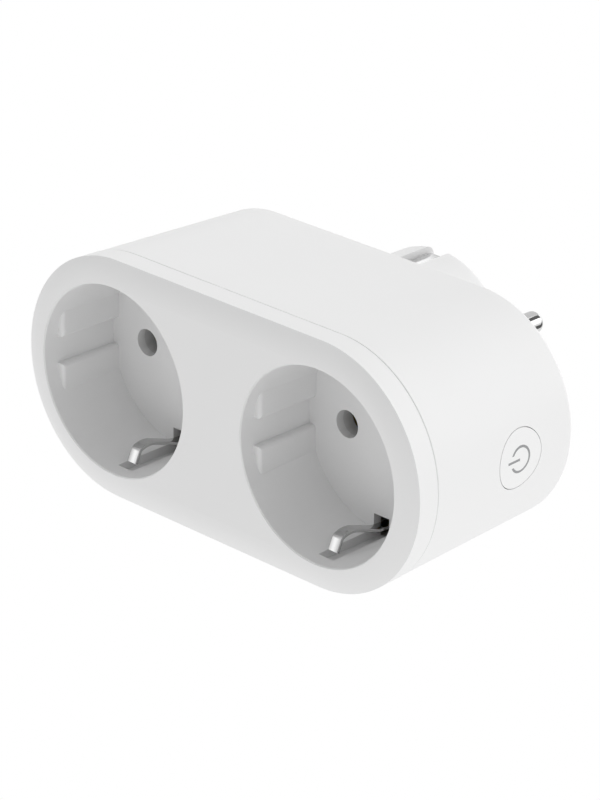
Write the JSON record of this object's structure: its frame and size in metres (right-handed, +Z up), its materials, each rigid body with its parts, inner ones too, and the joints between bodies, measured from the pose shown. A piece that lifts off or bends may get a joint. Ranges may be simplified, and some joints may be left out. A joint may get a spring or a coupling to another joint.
{
  "type": "smart plug",
  "caption": "White obround wall plug adaptor with two earthed round socket recesses, a remote relay inside and a push button on its end.",
  "frame": {"origin": "where the axis of the wall plug crosses the rear face, in the plane of the wall", "axes": "+Y into the wall along the plug pins, -Y out of the two sockets, +X towards the push button, +Z up"},
  "size_m": [0.1056, 0.084, 0.0504],
  "materials": {
    "white_casing": "satin",
    "white_button": "satin",
    "white_carrier": "matte",
    "grey_lens": "satin",
    "nickel_pin": "polished nickel plate",
    "nickel_contact": "nickel plate",
    "brass_strip": "satin",
    "circuit_board": "satin",
    "relay_case": "satin",
    "capacitor_sleeve": "satin",
    "ferrite": "matte",
    "varistor_coat": "matte",
    "resistor_coat": "matte",
    "chip_epoxy": "matte",
    "shunt_alloy": "satin",
    "tinned_can": "satin",
    "led_lens": "satin",
    "steel_screw": "zinc plate"
  },
  "bodies": {
    "housing": {"front_cover": "white_casing", "rear_shell": "white_casing", "plug_pin_line": "nickel_pin", "plug_pin_neutral": "nickel_pin", "pin_carrier": "white_carrier", "plug_earth_contact_top": "nickel_contact", "plug_earth_contact_bottom": "nickel_contact", "earth_rail_top": "brass_strip", "earth_rail_bottom": "brass_strip", "earth_strap_left": "brass_strip", "earth_strap_right": "brass_strip", "contact_clip_left_line": "brass_strip", "contact_clip_left_neutral": "brass_strip", "contact_clip_right_line": "brass_strip", "contact_clip_right_neutral": "brass_strip", "line_busbar": "brass_strip", "neutral_busbar": "brass_strip", "main_board": "circuit_board", "relay": "relay_case", "supply_capacitors": "capacitor_sleeve", "filter_inductor": "ferrite", "surge_varistor": "varistor_coat", "fuse_resistor": "resistor_coat", "bridge_rectifier": "chip_epoxy", "metering_chip": "chip_epoxy", "current_shunt": "shunt_alloy", "wifi_board": "circuit_board", "wifi_shield_can": "tinned_can", "button_board": "circuit_board", "tact_switch_body": "chip_epoxy", "status_led": "led_lens", "board_header": "chip_epoxy", "case_screws": "steel_screw"},
    "button": {"power_button": "white_button", "power_symbol": "grey_lens"},
    "switch_plunger": {"tact_switch_plunger": "white_button"},
    "clip_left_top": {"earth_clip_left_top": "nickel_contact"},
    "clip_left_bottom": {"earth_clip_left_bottom": "nickel_contact"},
    "clip_right_top": {"earth_clip_right_top": "nickel_contact"},
    "clip_right_bottom": {"earth_clip_right_bottom": "nickel_contact"}
  },
  "joints": [
    {"name": "button_press", "type": "slide", "parent": "housing", "child": "button", "axis": [-1, 0, 0], "range_m": [0, 0.0004], "stiffness_N_per_m": 2000},
    {"name": "plunger_press", "type": "slide", "parent": "housing", "child": "switch_plunger", "axis": [-1, 0, 0], "range_m": [0, 0.0004]},
    {"name": "flex_left_top", "type": "hinge", "parent": "housing", "child": "clip_left_top", "pos_m": [-0.0277, -0.0225, 0.0186], "axis": [-1, 0, 0], "range_deg": [0, 6], "stiffness_Nm_per_rad": 0.5},
    {"name": "flex_left_bottom", "type": "hinge", "parent": "housing", "child": "clip_left_bottom", "pos_m": [-0.0277, -0.0225, -0.0186], "axis": [1, 0, 0], "range_deg": [0, 6], "stiffness_Nm_per_rad": 0.5},
    {"name": "flex_right_top", "type": "hinge", "parent": "housing", "child": "clip_right_top", "pos_m": [0.0277, -0.0225, 0.0186], "axis": [-1, 0, 0], "range_deg": [0, 6], "stiffness_Nm_per_rad": 0.5},
    {"name": "flex_right_bottom", "type": "hinge", "parent": "housing", "child": "clip_right_bottom", "pos_m": [0.0277, -0.0225, -0.0186], "axis": [1, 0, 0], "range_deg": [0, 6], "stiffness_Nm_per_rad": 0.5}
  ],
  "couplings": [
    {"joint": "plunger_press", "follows": "button_press", "ratio": 1}
  ]
}
